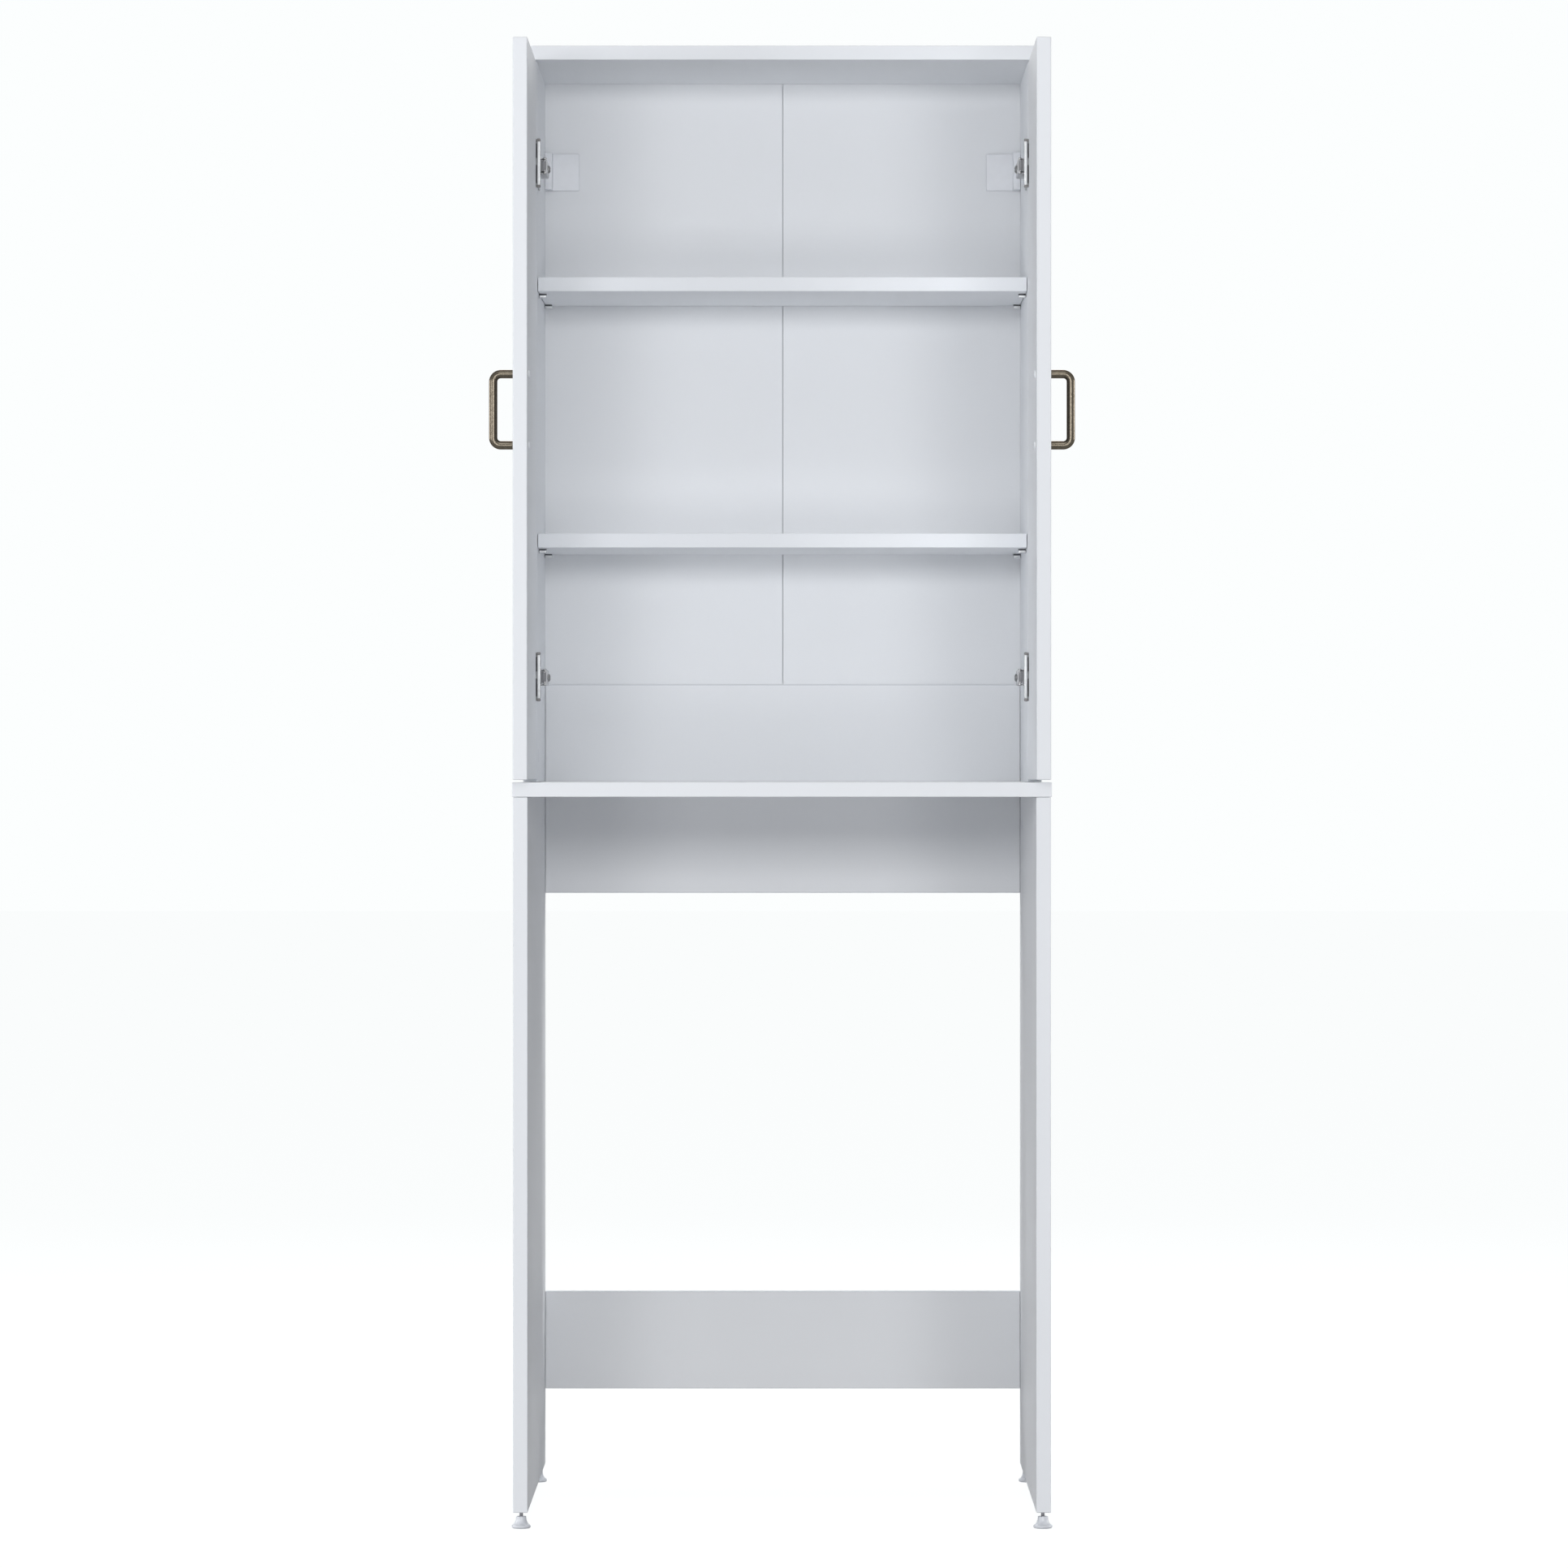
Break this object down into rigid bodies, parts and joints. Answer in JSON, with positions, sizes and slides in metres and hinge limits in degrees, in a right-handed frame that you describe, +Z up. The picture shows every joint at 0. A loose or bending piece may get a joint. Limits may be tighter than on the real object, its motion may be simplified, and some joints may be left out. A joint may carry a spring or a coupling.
{
  "type": "washing machine cabinet",
  "caption": "Tall white over-washing-machine cabinet: open bay below a deep tabletop, hinged-door cupboard with shelves above, on levelling feet.",
  "frame": {"origin": "on the floor, under the middle of the whole model with its doors open at a right angle", "axes": "+Z up; +Y towards the wall behind the cabinet; +X to the right of someone facing the doors; the front faces -Y"},
  "size_m": [0.7242, 0.6474, 1.861],
  "materials": {
    "white_laminate": "white melamine-faced chipboard, satin",
    "white_backboard": "white-faced thin hardboard, satin",
    "support_nickel": "nickel plated",
    "foot_plastic": "white glossy plastic",
    "bracket_steel": "zinc plated",
    "cover_plastic": "white plastic, satin",
    "hinge_nickel": "nickel plated, bright",
    "handle_bronze": "antique bronze, brushed",
    "screw_steel": "zinc plated"
  },
  "bodies": {
    "cabinet": {"lower_side_left": "white_laminate", "lower_side_right": "white_laminate", "upper_side_left": "white_laminate", "upper_side_right": "white_laminate", "tabletop": "white_laminate", "top_panel": "white_laminate", "rear_rail_bottom": "white_laminate", "rear_rail_middle": "white_laminate", "rear_rail_upper": "white_laminate", "shelf_lower": "white_laminate", "shelf_upper": "white_laminate", "back_panel_left": "white_backboard", "back_panel_right": "white_backboard", "shelf_support_lower_front_left": "support_nickel", "shelf_support_lower_front_right": "support_nickel", "shelf_support_lower_rear_left": "support_nickel", "shelf_support_lower_rear_right": "support_nickel", "shelf_support_upper_front_left": "support_nickel", "shelf_support_upper_front_right": "support_nickel", "shelf_support_upper_rear_left": "support_nickel", "shelf_support_upper_rear_right": "support_nickel", "wall_bracket_left": "bracket_steel", "wall_bracket_right": "bracket_steel", "bracket_cover_left": "cover_plastic", "bracket_cover_right": "cover_plastic", "hinge_plate_lower_left": "hinge_nickel", "hinge_plate_lower_right": "hinge_nickel", "hinge_plate_upper_left": "hinge_nickel", "hinge_plate_upper_right": "hinge_nickel", "hinge_arm_lower_left": "hinge_nickel", "hinge_arm_lower_right": "hinge_nickel", "hinge_arm_upper_left": "hinge_nickel", "hinge_arm_upper_right": "hinge_nickel"},
    "left_door": {"door_left": "white_laminate", "handle_left": "handle_bronze", "handle_screw_lower_left": "screw_steel", "handle_screw_upper_left": "screw_steel", "hinge_cup_lower_left": "hinge_nickel", "hinge_cup_upper_left": "hinge_nickel"},
    "right_door": {"door_right": "white_laminate", "handle_right": "handle_bronze", "handle_screw_lower_right": "screw_steel", "handle_screw_upper_right": "screw_steel", "hinge_cup_lower_right": "hinge_nickel", "hinge_cup_upper_right": "hinge_nickel"},
    "left_outer_links": {"hinge_outer_link_lower_left": "hinge_nickel", "hinge_outer_link_upper_left": "hinge_nickel"},
    "left_inner_links": {"hinge_inner_link_lower_left": "hinge_nickel", "hinge_inner_link_upper_left": "hinge_nickel"},
    "right_outer_links": {"hinge_outer_link_lower_right": "hinge_nickel", "hinge_outer_link_upper_right": "hinge_nickel"},
    "right_inner_links": {"hinge_inner_link_lower_right": "hinge_nickel", "hinge_inner_link_upper_right": "hinge_nickel"},
    "foot_front_left": {"foot_front_left": "foot_plastic"},
    "foot_front_right": {"foot_front_right": "foot_plastic"},
    "foot_rear_left": {"foot_rear_left": "foot_plastic"},
    "foot_rear_right": {"foot_rear_right": "foot_plastic"}
  },
  "joints": [
    {"name": "left_door", "type": "hinge", "parent": "cabinet", "child": "left_door", "pos_m": [-0.32325, -0.002, 1.3825], "axis": [0, 0, -1], "range_deg": [-90, 5]},
    {"name": "right_door", "type": "hinge", "parent": "cabinet", "child": "right_door", "pos_m": [0.32325, -0.002, 1.3825], "axis": [0, 0, 1], "range_deg": [-90, 5]},
    {"name": "left_outer_links", "type": "hinge", "parent": "cabinet", "child": "left_outer_links", "pos_m": [-0.3035, 0.00375, 1.3825], "axis": [0, 0, -1], "range_deg": [-1, 9]},
    {"name": "left_inner_links", "type": "hinge", "parent": "cabinet", "child": "left_inner_links", "pos_m": [-0.3095, 0.01275, 1.3825], "axis": [0, 0, -1], "range_deg": [-1, 9]},
    {"name": "right_outer_links", "type": "hinge", "parent": "cabinet", "child": "right_outer_links", "pos_m": [0.3035, 0.00375, 1.3825], "axis": [0, 0, 1], "range_deg": [-1, 9]},
    {"name": "right_inner_links", "type": "hinge", "parent": "cabinet", "child": "right_inner_links", "pos_m": [0.3095, 0.01275, 1.3825], "axis": [0, 0, 1], "range_deg": [-1, 9]},
    {"name": "foot_front_left_height", "type": "slide", "parent": "cabinet", "child": "foot_front_left", "axis": [0, 0, -1], "range_m": [-0.0065, 0.012]},
    {"name": "foot_front_right_height", "type": "slide", "parent": "cabinet", "child": "foot_front_right", "axis": [0, 0, -1], "range_m": [-0.0065, 0.012]},
    {"name": "foot_rear_left_height", "type": "slide", "parent": "cabinet", "child": "foot_rear_left", "axis": [0, 0, -1], "range_m": [-0.0065, 0.012]},
    {"name": "foot_rear_right_height", "type": "slide", "parent": "cabinet", "child": "foot_rear_right", "axis": [0, 0, -1], "range_m": [-0.0065, 0.012]}
  ],
  "couplings": [
    {"joint": "left_outer_links", "follows": "left_door", "ratio": -0.09383},
    {"joint": "left_inner_links", "follows": "left_door", "ratio": -0.09585},
    {"joint": "right_outer_links", "follows": "right_door", "ratio": -0.09383},
    {"joint": "right_inner_links", "follows": "right_door", "ratio": -0.09585}
  ]
}
